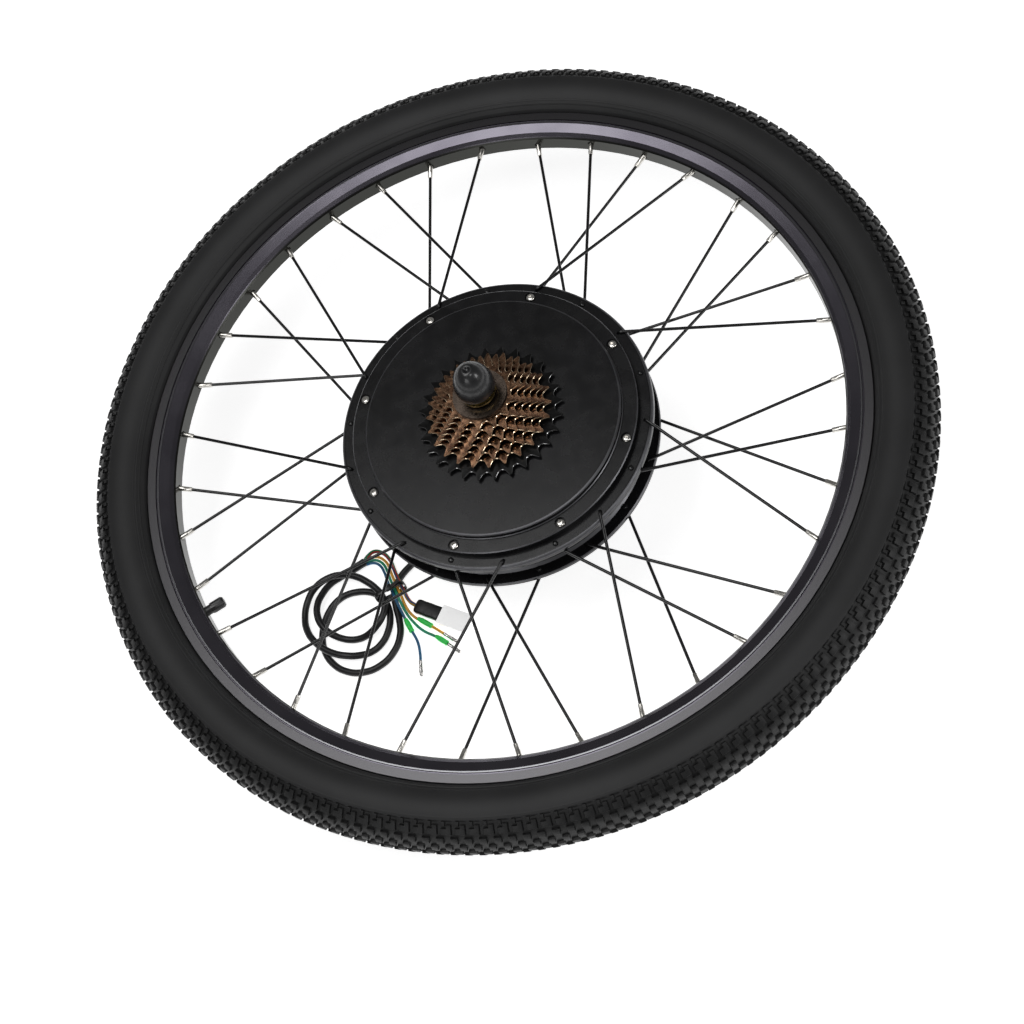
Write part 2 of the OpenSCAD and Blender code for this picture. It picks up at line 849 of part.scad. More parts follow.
// A chain sprocket: roller seats on the pitch circle, short flanks and blunt tips
module sprocket_outline(n) {
    pitch_r = chain_pitch / 2 / sin(180 / n);
    tip_r = pitch_r + 2.3;
    tip_a = 180 / n - asin(0.75 / tip_r);
    polygon([for (i = [0 : n - 1]) each concat(
        [for (a = [240 : -24 : 120])
            let (x = pitch_r + roller_r * cos(a), y = roller_r * sin(a), t = 360 * i / n)
            [x * cos(t) - y * sin(t), x * sin(t) + y * cos(t)]],
        [for (a = [tip_a, 360 / n - tip_a])
            [tip_r * cos(a + 360 * i / n), tip_r * sin(a + 360 * i / n)]])]);
}

module sprocket(i) {
    translate([0, 0, sprocket_mid(i) - sprocket_t / 2])
        linear_extrude(sprocket_t)
            difference() {
                sprocket_outline(sprocket_teeth[i]);
                circle(shell_r + 0.02);
            }
}

module sprocket_28t() {
    color("black") sprocket(0);
}

module sprocket_24t() {
    color("saddlebrown") sprocket(1);
}

module sprocket_22t() {
    color("saddlebrown") sprocket(2);
}

module sprocket_20t() {
    color("saddlebrown") sprocket(3);
}

module sprocket_18t() {
    color("saddlebrown") sprocket(4);
}

module sprocket_16t() {
    color("saddlebrown") sprocket(5);
}

module sprocket_14t() {
    color("saddlebrown") sprocket(6);
}

axle();
axle_spacer_right();
axle_spacer_left();
stator_spider();
stator_core();
stator_windings();
hall_board();
motor_lead();
bearing_inner_rings();
tab_washers();
axle_nuts();
axle_cap();
cable_boot();
cable_tube();
cable_coil();
cable_end_sleeve();
cable_tie();
phase_lead_yellow();
phase_lead_green();
phase_lead_blue();
hall_lead();
lead_sleeves();
lead_terminals();
hall_sleeve();
hall_connector();
motor_ring();
back_iron();
magnets();
right_cover();
left_cover();
cover_screws_right();
cover_screws_left();
bearing_outer_rings();
bearing_balls();
oil_seals();
spokes_right();
spokes_left();
nipples();
rim();
rim_tape();
inner_tube();
tyre();
valve_stem();
valve_cap();
freewheel_core();
freewheel_pawls();
freewheel_face_ring();
freewheel_shell();
freewheel_balls();
sprocket_spacers();
sprocket_14t();
sprocket_16t();
sprocket_18t();
sprocket_20t();
sprocket_22t();
sprocket_24t();
sprocket_28t();
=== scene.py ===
"""Looks of the hub motor wheel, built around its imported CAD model.

Lengths here are in millimetres, and MM turns them into metres. The origin is the wheel's
centre, and +Z runs along the axle to the drive side. The wheel lies level above the floor.
"""

import json
import math

import bpy
import numpy as np
from mathutils import Matrix, Vector


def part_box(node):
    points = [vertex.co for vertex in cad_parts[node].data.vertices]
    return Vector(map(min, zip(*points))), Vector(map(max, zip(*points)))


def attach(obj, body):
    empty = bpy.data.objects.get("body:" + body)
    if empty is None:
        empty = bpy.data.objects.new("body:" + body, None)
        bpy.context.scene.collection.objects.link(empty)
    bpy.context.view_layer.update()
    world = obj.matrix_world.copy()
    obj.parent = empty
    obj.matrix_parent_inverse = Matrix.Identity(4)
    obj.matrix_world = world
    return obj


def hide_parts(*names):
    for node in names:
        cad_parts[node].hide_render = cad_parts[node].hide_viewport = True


MM = 0.001

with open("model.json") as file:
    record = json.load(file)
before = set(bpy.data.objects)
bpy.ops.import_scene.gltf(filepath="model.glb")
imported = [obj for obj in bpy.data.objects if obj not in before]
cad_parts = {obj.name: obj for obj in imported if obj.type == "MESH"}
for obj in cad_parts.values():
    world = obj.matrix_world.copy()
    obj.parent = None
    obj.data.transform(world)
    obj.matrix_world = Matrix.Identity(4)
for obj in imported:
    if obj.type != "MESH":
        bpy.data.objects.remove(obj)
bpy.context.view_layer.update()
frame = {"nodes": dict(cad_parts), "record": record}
bpy.context.scene.view_settings.view_transform = "Standard"

FLOOR_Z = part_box("cable_boot")[0].z / MM


# ---------- Camera ----------

CAMERA_AZIMUTH = 3.93
CAMERA_ELEVATION = 61.245
CAMERA_ROLL = -30.511
CAMERA_DISTANCE = 1641.04
CAMERA_ACROSS = 9.138
CAMERA_BELOW = 64.321
CAMERA_LENS = 71.83
CAMERA_SENSOR = 36


def make_camera():
    """The photograph's view: the camera looks past the wheel's centre, turned about its axis."""
    a, e, t = (math.radians(x) for x in (CAMERA_AZIMUTH, CAMERA_ELEVATION, CAMERA_ROLL))
    back = Vector((math.sin(a) * math.cos(e), -math.cos(a) * math.cos(e), math.sin(e)))
    right = Vector((math.cos(a), math.sin(a), 0))
    up = back.cross(right)
    across = right * math.cos(t) + up * math.sin(t)
    above = up * math.cos(t) - right * math.sin(t)
    camera = bpy.data.objects.new("camera", bpy.data.cameras.new("camera"))
    camera.data.lens = CAMERA_LENS
    camera.data.sensor_width = CAMERA_SENSOR
    camera.matrix_world = Matrix((across, above, back)).transposed().to_4x4()
    camera.location = (back * CAMERA_DISTANCE + across * CAMERA_ACROSS
                       - above * CAMERA_BELOW) * MM
    bpy.context.collection.objects.link(camera)
    bpy.context.scene.camera = camera


make_camera()


# ---------- Materials ----------

class Nodes:
    """Adds nodes to a new material. The object's own space drives every pattern, in metres."""

    def __init__(self, name):
        self.material = bpy.data.materials.new(name)
        self.material.use_nodes = True
        self.tree = self.material.node_tree
        self.shader = self.tree.nodes["Principled BSDF"]
        self.space = self.tree.nodes.new("ShaderNodeTexCoord").outputs["Object"]

    def node(self, kind, inputs=(), output=0, **settings):
        """Adds a node, and returns one of its outputs. Inputs are sockets to link or values."""
        made = self.tree.nodes.new(kind)
        for key, value in settings.items():
            setattr(made, key, value)
        for key, value in dict(inputs).items():
            if isinstance(value, bpy.types.NodeSocket):
                self.tree.links.new(value, made.inputs[key])
            else:
                made.inputs[key].default_value = value
        return made.outputs[output]

    def noise(self, scale, detail=3.0):
        return self.node("ShaderNodeTexNoise", {"Vector": self.space, "Scale": scale,
                                                "Detail": detail})

    def spread(self, value, low, high, start=0.3, end=0.7):
        """Maps value smoothly, from between start and end to between low and high. The
        defaults suit a noise, which seldom strays further from its middle."""
        return self.node("ShaderNodeMapRange", {"Value": value, "From Min": start, "From Max": end,
                                                "To Min": low, "To Max": high},
                         interpolation_type="SMOOTHSTEP")

    def mix(self, share, a, b):
        """Colour a where share is 0, and b where it is 1."""
        return self.node("ShaderNodeMix", {0: share, 6: a, 7: b}, output=2, data_type="RGBA")

    def math(self, operation, a, b=0.0):
        return self.node("ShaderNodeMath", {0: a, 1: b}, operation=operation)

    def radius(self):
        """Distance from the axle line, in millimetres."""
        flat = self.node("ShaderNodeVectorMath", {0: self.space, 1: (1000, 1000, 0)},
                         operation="MULTIPLY")
        return self.node("ShaderNodeVectorMath", {0: flat}, output="Value", operation="LENGTH")

    def tilt(self):
        """1 on faces square to the axle line, and 0 on faces along it."""
        normal = self.node("ShaderNodeTexCoord", output=1)
        return self.math("ABSOLUTE", self.node("ShaderNodeSeparateXYZ", {0: normal}, output=2))

    def band(self, value, low, high, soft):
        """1 where value lies between low and high, fading over soft on both sides."""
        up = self.spread(value, 0, 1, low - soft, low + soft)
        down = self.spread(value, 1, 0, high - soft, high + soft)
        return self.math("MULTIPLY", up, down)

    def bump(self, height, depth):
        """Relief with a depth in millimetres."""
        normal = self.node("ShaderNodeBump", {"Height": height, "Distance": depth * MM,
                                              "Strength": 1.0})
        self.link("Normal", normal)

    def link(self, name, socket):
        self.tree.links.new(socket, self.shader.inputs[name])

    def set(self, **values):
        """Sets values that are the same all over; _ in a name stands for a space."""
        for name, value in values.items():
            self.shader.inputs[name.replace("_", " ")].default_value = value


def shade(colour, factor):
    """A lighter or darker colour, with the alpha that a socket needs."""
    return tuple(min(1.0, c * factor) for c in colour[:3]) + (1.0,)


def finish(name, colour, roughness, metallic=0.0, mottle=0.2, patch=60.0, grain=900.0,
           depth=0.02, **settings):
    """A surface whose colour and roughness vary in patches, with a fine grain in relief.
    mottle is the colour's share of change, patch and grain count per metre, and depth is the
    grain's height in millimetres."""
    n = Nodes(name)
    patches = n.noise(patch)
    n.link("Base Color", n.mix(n.spread(patches, 0, 1), shade(colour, 1 - mottle),
                               shade(colour, 1 + mottle)))
    n.link("Roughness", n.spread(n.noise(patch * 3), roughness * 0.85, roughness * 1.15))
    n.bump(n.noise(grain, 4.0), depth)
    n.set(Metallic=metallic, **settings)
    return n.material


BLACK = (0.012, 0.012, 0.013)

MATERIALS = {
    "spoke_black": finish("spoke_black", (0.006, 0.006, 0.0065), 0.2, grain=2500, depth=0.004),
    "nipple_nickel": finish("nipple_nickel", (0.62, 0.60, 0.56), 0.24, 1.0, patch=300),
    "screw_nickel": finish("screw_nickel", (0.72, 0.70, 0.66), 0.18, 1.0, patch=300),
    "steel": finish("steel", (0.42, 0.42, 0.43), 0.32, 1.0, patch=200),
    "steel_ball": finish("steel_ball", (0.6, 0.6, 0.61), 0.12, 1.0, depth=0.002),
    "zinc_yellow": finish("zinc_yellow", (0.58, 0.47, 0.22), 0.26, 1.0, patch=150, mottle=0.25),
    "cap_black": finish("cap_black", BLACK, 0.3, grain=1200, depth=0.01, Coat_Weight=0.3,
                        Coat_Roughness=0.12),
    "boot_rubber": finish("boot_rubber", BLACK, 0.5, grain=2200, depth=0.04),
    "cable_black": finish("cable_black", (0.010, 0.010, 0.011), 0.38, grain=1500, depth=0.03,
                          patch=90),
    "tie_black": finish("tie_black", (0.009, 0.009, 0.009), 0.35, grain=1800),
    "lead_yellow": finish("lead_yellow", (0.92, 0.44, 0.045), 0.35, patch=150, mottle=0.12),
    "lead_green": finish("lead_green", (0.02, 0.36, 0.20), 0.35, patch=150, mottle=0.12),
    "lead_blue": finish("lead_blue", (0.035, 0.15, 0.30), 0.35, patch=150, mottle=0.12),
    "sleeve_green": finish("sleeve_green", (0.07, 0.92, 0.16), 0.3, patch=200, mottle=0.06,
                           Subsurface_Weight=0.2, Subsurface_Scale=0.002),
    "terminal_tin": finish("terminal_tin", (0.74, 0.73, 0.71), 0.24, 1.0, patch=400),
    # The connector's glow is painted light: it keeps the plug white where it lies in the hub's
    # shade, though it is no lamp.
    "connector_white": finish("connector_white", (0.93, 0.93, 0.92), 0.35, patch=120, mottle=0.02,
                              Emission_Color=(1, 1, 1, 1), Emission_Strength=0.45),
    "alloy": finish("alloy", (0.5, 0.5, 0.51), 0.38, 1.0),
    "lamination": finish("lamination", (0.2, 0.2, 0.22), 0.4, 1.0, grain=3000),
    "iron": finish("iron", (0.25, 0.25, 0.27), 0.42, 1.0),
    "magnet_nickel": finish("magnet_nickel", (0.55, 0.54, 0.52), 0.25, 1.0),
    "copper": finish("copper", (0.62, 0.28, 0.13), 0.3, 0.9, patch=400, mottle=0.3),
    "board_green": finish("board_green", (0.02, 0.14, 0.05), 0.35),
    "tape": finish("tape", (0.5, 0.4, 0.2), 0.6),
    "tube_rubber": finish("tube_rubber", BLACK, 0.55),
    "seal_rubber": finish("seal_rubber", BLACK, 0.5),
    "valve_metal": finish("valve_metal", (0.02, 0.02, 0.02), 0.4),
    "hall_wires": finish("hall_wires", (0.1, 0.1, 0.1), 0.4),
    "freewheel_grey": finish("freewheel_grey", (0.11, 0.085, 0.068), 0.3, 0.9, patch=160,
                             mottle=0.25),
}


TREAD_SHADE_FADE = (327, 333)


def tyre_rubber():
    """Matt black rubber, with the tread painted darker than the sidewall as painted shade."""
    n = Nodes("tyre_rubber")
    r = n.radius()
    tone = n.spread(n.noise(18, 5), 0, 1)
    wall = n.mix(tone, (0.0155, 0.0155, 0.0160, 1), (0.0215, 0.0215, 0.0222, 1))
    # Painted shade: the outward-facing tread gets a darker copy of the sidewall's rubber colour.
    tread = n.mix(tone, (0.0045, 0.0045, 0.0047, 1), (0.0080, 0.0080, 0.0083, 1))
    n.link("Base Color", n.mix(n.spread(r, 0, 1, *TREAD_SHADE_FADE), wall, tread))
    n.link("Roughness", n.spread(r, 0.56, 0.48, 325, 333))
    n.bump(n.noise(1400, 4), 0.04)
    n.set(Specular_IOR_Level=0.42)
    return n.material


RIM_BED_R = (276.6, 277.6)
RIM_RIDGE_HIGHLIGHT_R = (287.9, 289.2)
BRAKE_TRACK_R = (290.5, 297.9)
RIM_SIDE_Z = (13.4, 13.7)


def rim_black():
    """Dark anodised alloy: a grey bed, bluish slopes, brushed tracks, and a painted highlight
    along the shoulder's crest.
    """
    n = Nodes("rim_black")
    r = n.radius()
    height = n.math("ABSOLUTE", n.node("ShaderNodeSeparateXYZ", {0: n.space}, output=2))
    outer = n.spread(height, 0, 1, *(z * MM for z in RIM_SIDE_Z))
    track = n.math("MULTIPLY", n.band(r, *BRAKE_TRACK_R, 0.12), outer)
    # Painted highlight: a lighter band on the shoulder's crest stands in for the bright line the
    # light draws there.
    ridge_highlight = n.math("MULTIPLY", n.band(r, *RIM_RIDGE_HIGHLIGHT_R, 0.15), outer)
    slope = n.mix(n.spread(n.noise(30), 0, 1), (0.115, 0.108, 0.128, 1), (0.140, 0.132, 0.154, 1))
    body = n.mix(n.spread(r, 0, 1, *RIM_BED_R), (0.040, 0.041, 0.037, 1), slope)
    lines = n.spread(n.node("ShaderNodeTexWave", {"Vector": n.node(
        "ShaderNodeCombineXYZ", {0: r}), "Scale": 1.7, "Distortion": 1.5, "Detail": 3.0}), 0, 1)
    brushed = n.mix(lines, (0.095, 0.093, 0.098, 1), (0.130, 0.127, 0.133, 1))
    colour = n.mix(track, n.mix(ridge_highlight, body, (0.20, 0.20, 0.21, 1)), brushed)
    n.link("Base Color", colour)
    n.link("Roughness", n.spread(track, 0.24, 0.34, 0, 1))
    n.set(Metallic=1.0, Anisotropic=0.3)
    n.link("Tangent", n.node("ShaderNodeTangent", direction_type="RADIAL", axis="Z"))
    n.bump(n.noise(1500, 3), 0.012)
    return n.material


def toothed_plate(name, faces, edge, metallic, specular):
    """Patchy flat faces, and a painted highlight of bright metal on the chamfers and the tooth
    flanks. faces is the two colours of the patches, and metallic belongs to them."""
    n = Nodes(name)
    side = n.spread(n.tilt(), 1, 0, 0.75, 0.95)
    patches = n.spread(n.noise(220, 4), 0, 1)
    # Chamfers and tooth flanks take the edge colour: painted highlights, glints painted in.
    n.link("Base Color", n.mix(side, n.mix(patches, *faces), edge))
    n.link("Metallic", n.spread(side, metallic, 1, 0, 1))
    n.link("Roughness", n.spread(n.noise(500), 0.16, 0.26))
    n.set(Specular_IOR_Level=specular)
    return n.material


def cast_black():
    """Black satin paint on a casting, with a painted highlight along its chamfers and rounds."""
    n = Nodes("cast_black")
    # The chamfers and rounds get a lighter, metallic colour: a painted highlight.
    edge = n.band(n.tilt(), 0.25, 0.95, 0.04)
    patches = n.spread(n.noise(25), 0, 1)
    paint = n.mix(patches, (0.0050, 0.0049, 0.0054, 1), (0.0074, 0.0073, 0.0082, 1))
    n.link("Base Color", n.mix(edge, paint, (0.17, 0.17, 0.18, 1)))
    n.link("Metallic", edge)
    rough = n.spread(n.noise(75), 0.21, 0.29)
    n.link("Roughness", n.math("ADD", rough, n.math("MULTIPLY", edge, 0.16)))
    n.bump(n.noise(1600, 4), 0.018)
    n.set(Specular_IOR_Level=0.34)
    return n.material


MATERIALS.update(
    cover_black=cast_black(),
    tyre_rubber=tyre_rubber(),
    rim_black=rim_black(),
    # The sprockets' edge colours are painted highlights: glints on their chamfers and tooth
    # flanks.
    sprocket_brown=toothed_plate(
        "sprocket_brown", faces=((0.085, 0.045, 0.029, 1), (0.27, 0.152, 0.088, 1)),
        edge=(0.85, 0.66, 0.46, 1), metallic=1, specular=0.5),
    sprocket_black=toothed_plate(
        "sprocket_black", faces=((0.005, 0.005, 0.005, 1), (0.008, 0.008, 0.008, 1)),
        edge=(0.30, 0.30, 0.30, 1), metallic=0, specular=0.12),
)


# ---------- Mesh shapes: each is (points, faces), in millimetres ----------

def joined(shapes):
    """Several shapes as one."""
    points, faces, count = [], [], 0
    for p, f in shapes:
        points.append(np.asarray(p, float))
        faces += [[i + count for i in face] for face in f]
        count += len(p)
    return np.vstack(points), faces


def loft(rings, closed=True):
    """Skins a list of rings of as many points each. closed caps the two ends."""
    n = len(rings[0])
    faces = [[i * n + k, i * n + (k + 1) % n, (i + 1) * n + (k + 1) % n, (i + 1) * n + k]
             for i in range(len(rings) - 1) for k in range(n)]
    if closed:
        faces += [list(range(n))[::-1], [(len(rings) - 1) * n + k for k in range(n)]]
    return np.vstack([np.asarray(r, float) for r in rings]), faces


def lathe(profile, segments, closed=True):
    """Turns a profile of (radius, height) points about the axle line; a closed one is a loop."""
    a = np.arange(segments) * 2 * math.pi / segments
    rings = [np.stack([r * np.cos(a), r * np.sin(a), np.full(segments, float(z))], 1)
             for r, z in profile]
    return loft(rings + rings[:1] if closed else rings, closed=False)


def axes_for(direction):
    """Two unit vectors across a direction, the second as near to straight up as can be."""
    d = np.asarray(direction, float) / np.linalg.norm(direction)
    helper = np.array([0.0, 0.0, 1.0]) if abs(d[2]) < 0.95 else np.array([0.0, 1.0, 0.0])
    side = np.cross(d, helper)
    side /= np.linalg.norm(side)
    return side, np.cross(side, d)


def section(centre, direction, outline):
    """Places an outline of (across, up) points at centre, facing along direction."""
    side, up = axes_for(direction)
    outline = np.asarray(outline, float)
    return np.asarray(centre) + outline[:, :1] * side + outline[:, 1:] * up


def circle(radius, sides=16, flat=1.0, flats=None):
    """An outline: round, flattened by flat, or cut to a square flats across inside the circle."""
    out = []
    for k in range(sides):
        a = 2 * math.pi * (k + 0.5) / sides
        r = radius
        if flats:
            r = min(r, flats / 2 / max(abs(math.cos(a)), abs(math.sin(a))))
        out.append((r * math.cos(a), r * math.sin(a) * flat))
    return out


def rounded_box(width, height, corner):
    """An outline: a rectangle with round corners."""
    out = []
    for cx, cy, start in ((1, 1, 0), (-1, 1, 90), (-1, -1, 180), (1, -1, 270)):
        for k in range(5):
            a = math.radians(start + 90 * k / 4)
            out.append((cx * (width / 2 - corner) + corner * math.cos(a),
                        cy * (height / 2 - corner) + corner * math.sin(a)))
    return out


def rod(start, direction, stations):
    """A turned or formed piece along a line: stations are (distance from start, outline)."""
    start = np.asarray(start, float)
    u = np.asarray(direction, float) / np.linalg.norm(direction)
    return loft([section(start + u * t, u, outline) for t, outline in stations])


def tube(points, radius, sides):
    """A round bar through a row of points."""
    p = np.asarray(points, float)
    rings = []
    for i in range(len(p)):
        d = p[min(i + 1, len(p) - 1)] - p[max(i - 1, 0)]
        rings.append(section(p[i], d, circle(radius, sides)))
    return loft(rings)


def turned(shape, angle, flip=False):
    """A shape turned about the axle line by angle in degrees, and mirrored through the wheel."""
    points, faces = shape
    a = math.radians(angle)
    c, s = math.cos(a), math.sin(a)
    q = points @ np.array([[c, s, 0], [-s, c, 0], [0, 0, 1]])
    if flip:
        q = q * (1, 1, -1)
        faces = [f[::-1] for f in faces]
    return q, faces


def mesh_piece(name, shape, slot, body, replaces, sharp=35):
    """Makes a mesh piece that replaces a CAD node and rides on its body, with a record slot's
    finish. Edges sharper than so many degrees stay sharp."""
    points, faces = shape
    mesh = bpy.data.meshes.new(name)
    mesh.from_pydata((np.asarray(points) * MM).tolist(), [], faces)
    mesh.polygons.foreach_set("use_smooth", [True] * len(mesh.polygons))
    mesh.set_sharp_from_angle(angle=math.radians(sharp))
    mesh.materials.append(MATERIALS[slot])
    piece = bpy.data.objects.new(name, mesh)
    bpy.context.collection.objects.link(piece)
    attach(piece, body)
    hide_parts(replaces)
    return piece


def polar(r, degrees, z=0.0):
    a = math.radians(degrees)
    return np.array([r * math.cos(a), r * math.sin(a), z])


# ---------- Cords: the motor cable, its leads and what is on them ----------

CABLE_D = 6.0
CABLE_ROUTE = [
    (-40, 0, -101.5), (-46, -0.3, -101.7), (-52, -1, -102), (-66, -3, -103),
    (-80, -5, -103.5), (-94, -8, -103.5), (-108, -11, -103.5), (-121, -15, -103.5),
    (-132, -20, -103.5), (-140, -27, -103.5), (-143, -31, -103.5),
]
COIL_POINTS_PER_TURN = 20
COIL_TURNS = 2.7
COIL_START = 7
COIL_BLEND = 0.16
COIL_MIDDLE = (-184, -36)
# Each turn's own centre, radius, and how far it is drawn out of round and in which direction
COIL_LOOPS = [((-182, -49.3), 35.4, 1.8, 87), ((-188, -33), 36.4, 3.4, 112),
              ((-179.8, -26.2), 29.6, 0.9, -43)]
# Where the cable climbs over what it crosses: turns from the start, height above the floor
COIL_CLIMB = [(0, 0), (1.22, 0), (1.36, 6.3), (1.5, 6.3), (1.61, 3), (1.74, 7.8), (1.86, 7.8),
              (1.97, 6.5), (2.08, 6.5), (2.3, 0), (2.34, 0), (2.56, 6.4), (2.61, 6.4), (2.83, 0)]
COIL_TAIL = [(-188.5, 3.9, -101.9), (-181, 5.2, -102.6), (-174, 6, -102.7)]
SLEEVE_MOUTH = (-155, 8, -102.7)


def eased(t):
    """0 up to t = 0 and 1 from t = 1, with a smooth step between them."""
    return (1 - math.cos(math.pi * min(max(t, 0.0), 1.0))) / 2


def loop_reach(loop, angle):
    """Distance from the coil's middle to one of its loops, in the direction angle."""
    (x, y), radius, oval, along = loop
    dx, dy = x - COIL_MIDDLE[0], y - COIL_MIDDLE[1]
    off, turn = math.hypot(dx, dy), math.radians(angle) - math.atan2(dy, dx)
    return (off * math.cos(turn) + math.sqrt(radius ** 2 - (off * math.sin(turn)) ** 2)
            + oval * math.cos(2 * math.radians(angle - along)))


def climb(turns):
    """How far above the floor the coil lies after so many turns."""
    for (t0, h0), (t1, h1) in zip(COIL_CLIMB, COIL_CLIMB[1:]):
        if turns <= t1:
            return h0 + (h1 - h0) * eased((turns - t0) / (t1 - t0))
    return COIL_CLIMB[-1][1]


def coil_point(turns):
    """The cable's centre after so many turns. Each loop runs smoothly into the next at the tie."""
    angle = COIL_START - 360 * turns
    k = min(int(turns), len(COIL_LOOPS) - 1)
    part = turns - k
    reach = loop_reach(COIL_LOOPS[k], angle)
    if turns < COIL_BLEND:
        entry = math.hypot(CABLE_ROUTE[-1][0] - COIL_MIDDLE[0],
                           CABLE_ROUTE[-1][1] - COIL_MIDDLE[1])
        reach = entry + (reach - entry) * (1 - (1 - turns / COIL_BLEND) ** 2)
    if k > 0 and part < COIL_BLEND:
        before = loop_reach(COIL_LOOPS[k - 1], angle)
        reach = before + (reach - before) * eased(0.5 + part / COIL_BLEND / 2)
    if k < len(COIL_LOOPS) - 1 and part > 1 - COIL_BLEND:
        after = loop_reach(COIL_LOOPS[k + 1], angle)
        reach += (after - reach) * eased((part - 1 + COIL_BLEND) / COIL_BLEND / 2)
    a = math.radians(angle)
    return (COIL_MIDDLE[0] + reach * math.cos(a), COIL_MIDDLE[1] + reach * math.sin(a),
            FLOOR_Z + CABLE_D / 2 + climb(turns))


def cable_line():
    """The motor cable's points, from its boot to the end of its jacket."""
    steps = int(COIL_TURNS * COIL_POINTS_PER_TURN)
    coil = [coil_point(i / COIL_POINTS_PER_TURN) for i in range(1, steps + 1)]
    return CABLE_ROUTE + coil + COIL_TAIL


def curve_piece(name, points, diameter, slot, replaces=(), material=None):
    """A round cord on the axle: a curve that runs smoothly through its points."""
    data = bpy.data.curves.new(name, "CURVE")
    data.dimensions = "3D"
    data.bevel_depth = diameter / 2 * MM
    data.bevel_resolution = 5
    data.resolution_u = 8
    data.use_fill_caps = True
    spline = data.splines.new("BEZIER")
    spline.bezier_points.add(len(points) - 1)
    for knot, p in zip(spline.bezier_points, points):
        knot.co = Vector(p) * MM
        knot.handle_left_type = knot.handle_right_type = "AUTO"
    data.materials.append(material or MATERIALS[slot])
    piece = bpy.data.objects.new(name, data)
    bpy.context.collection.objects.link(piece)
    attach(piece, "axle")
    if replaces:
        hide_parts(*replaces)
    return piece


def metres(point):
    return tuple(c * MM for c in point)


def make_end_sleeve():
    """Heat-shrunk sleeve on the end of the jacket, tight on the cable and open to the leads."""
    start, end = np.array(COIL_TAIL[-1]), np.array(SLEEVE_MOUTH)
    profile = [(-1.5, 3.15), (0, 3.45), (1, 3.6), (6, 3.5), (11, 3.7), (15, 3.55), (18.3, 3.75),
               (19.0, 3.5), (19.1, 2.9)]
    shape = rod(start, end - start, [(t, circle(r, 24, 0.96)) for t, r in profile])
    return mesh_piece("cable_end_sleeve_shrunk", shape, "cable_black", "axle", "cable_end_sleeve")


def make_tie():
    """A strap pulled round the bundle, with its lock on top and its tail left standing. Its
    path is (across, above the floor) points round a box with round corners."""
    centre = np.array([*CABLE_ROUTE[-1][:2], FLOOR_Z])
    low, high, top, corner = -15.5, 11.5, 14.3, 4.5
    path = []
    for cx, cz, start in ((high - corner, top - corner, 0), (low + corner, top - corner, 90),
                          (low + corner, 0.5 + corner, 180), (high - corner, 0.5 + corner, 270)):
        for k in range(7):
            a = math.radians(start + 15 * k)
            path.append((cx + corner * math.cos(a), cz + corner * math.sin(a)))
    path.append(path[0])
    strap = []
    for i, (x, z) in enumerate(path):
        x0, z0 = path[i - 1] if i else path[-2]
        x1, z1 = path[(i + 1) % len(path)] if i + 1 < len(path) else path[1]
        t = np.array([x1 - x0, z1 - z0]) / math.hypot(x1 - x0, z1 - z0)
        out = np.array([t[1], -t[0]])
        ring = [(-1.8, -0.3), (-1.5, -0.5), (1.5, -0.5), (1.8, -0.3), (1.8, 0.3), (1.5, 0.5),
                (-1.5, 0.5), (-1.8, 0.3)]
        strap.append([(x + out[0] * h, w, z + out[1] * h) for w, h in ring])
    band = loft(strap, closed=False)
    lock = rod((-4, 0, 16), (1, 0, 0), [(0.0, rounded_box(4.6, 2.6, 0.7)),
                                        (0.5, rounded_box(5.6, 3.4, 0.8)),
                                        (4.3, rounded_box(5.6, 3.4, 0.8)),
                                        (5.0, rounded_box(4.8, 2.8, 0.7))])
    tail = tube([(0.5, 0, 16.2), (2.5, 0, 16.4), (6, 0.4, 16.9), (9.5, 1.0, 17.2)], 1.0, 4)
    tail[0][:, 1] = tail[0][:, 1] * 1.9
    points, faces = joined([band, lock, tail])
    return mesh_piece("cable_tie_strap", (points + centre, faces), "tie_black", "axle",
                      "cable_tie")


def make_lead_end(name, sleeve, bullet):
    """One phase lead's loose sleeve and its bullet terminal, each along its own line."""
    start, end = (np.array(p, float) for p in sleeve)
    length = np.linalg.norm(end - start)
    profile = [(0, 1.35), (0.4, 1.65), (1.6, 1.8), (4, 2.25), (length * 0.6, 2.3),
               (length - 2, 2.15), (length - 0.4, 2.3), (length, 2.1), (length, 1.5)]
    cover = mesh_piece(f"{name}_sleeve", rod(start, end - start, [
        (t, circle(r, 20, 0.93)) for t, r in profile]), "sleeve_green", "axle", "lead_sleeves")
    start, end = (np.array(p, float) for p in bullet)
    length = np.linalg.norm(end - start)
    pin = [(0, circle(1.3, 20)), (0.3, circle(1.6, 20, 0.9)), (1.6, circle(1.6, 20, 0.8)),
           (2.0, circle(1.5, 20, 0.62)), (4.4, circle(1.5, 20, 0.62)), (4.8, circle(1.6, 20, 0.9)),
           (6.3, circle(1.55, 20)), (6.5, circle(1.9, 20)), (7.2, circle(1.9, 20)),
           (7.4, circle(1.6, 20)), (8.0, circle(1.6, 20)), (8.3, circle(1.88, 20)),
           (length - 3.1, circle(1.88, 20)), (length - 2.8, circle(1.5, 20)),
           (length - 2.2, circle(1.5, 20)), (length - 1.9, circle(1.8, 20)),
           (length - 0.9, circle(1.55, 20)), (length - 0.2, circle(1.05, 20)),
           (length, circle(0.5, 20))]
    tip = mesh_piece(f"{name}_bullet", rod(start, end - start, pin), "terminal_tin", "axle",
                     "lead_terminals")
    return [cover, tip]


